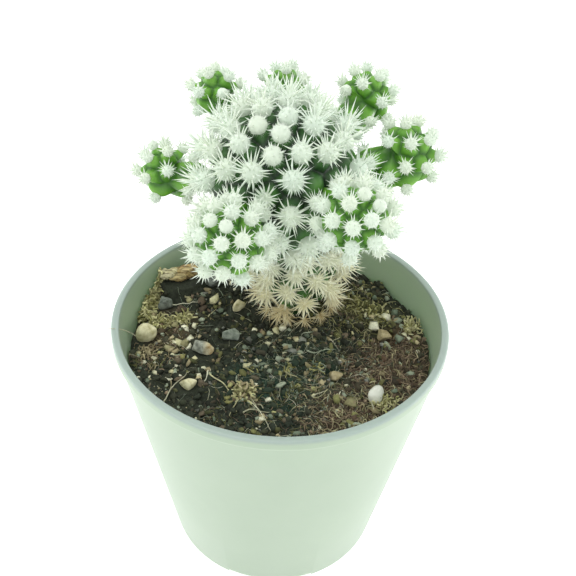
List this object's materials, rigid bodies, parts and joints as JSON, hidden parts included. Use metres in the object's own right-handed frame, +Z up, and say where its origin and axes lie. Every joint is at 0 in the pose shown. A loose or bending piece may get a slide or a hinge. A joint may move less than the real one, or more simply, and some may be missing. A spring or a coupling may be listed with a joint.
{
  "type": "potted thimble cactus",
  "caption": "Small clustering cactus with white spine stars and a ring of young heads, standing in gritty soil in a tapered plastic nursery pot; a table or shelf plant.",
  "frame": {"origin": "middle of the pot's foot, on the surface it stands on", "axes": "+Z up; -Y is the plant's front, the side that the picture looks at; +X to the right"},
  "size_m": [0.055, 0.055, 0.0834],
  "materials": {
    "pot": "pale mint, satin, slightly translucent thin moulded plastic",
    "soil": "dry peat-based potting mix with fibres, moss and crumbs",
    "mother_stem": "deep blue-green waxy flesh under dense white to cream spines",
    "offset": "bright yellow-green young flesh with short white spines",
    "stone_grey": "dull grey-green grit stone",
    "stone_white": "chalky off-white pebble",
    "stone_tan": "dry tan grit",
    "bark": "dry yellow-brown bark"
  },
  "bodies": {
    "root": {"pot": "pot", "soil": "soil", "mother_stem": "mother_stem", "offset_front_left": "offset", "offset_front_right": "offset", "offset_right": "offset", "offset_back_right": "offset", "offset_back": "offset", "offset_back_left": "offset", "offset_left": "offset", "stone_two_tone": "stone_grey", "stone_green_grey": "stone_grey", "stone_grey_left": "stone_grey", "stone_grey_back": "stone_grey", "pebble_white": "stone_white", "pebble_cream_left": "stone_white", "chip_cream_soft": "stone_white", "stone_tan_right": "stone_tan", "chip_tan_front": "stone_tan", "lump_tan": "stone_tan", "chip_bark": "bark"}
  },
  "joints": []
}
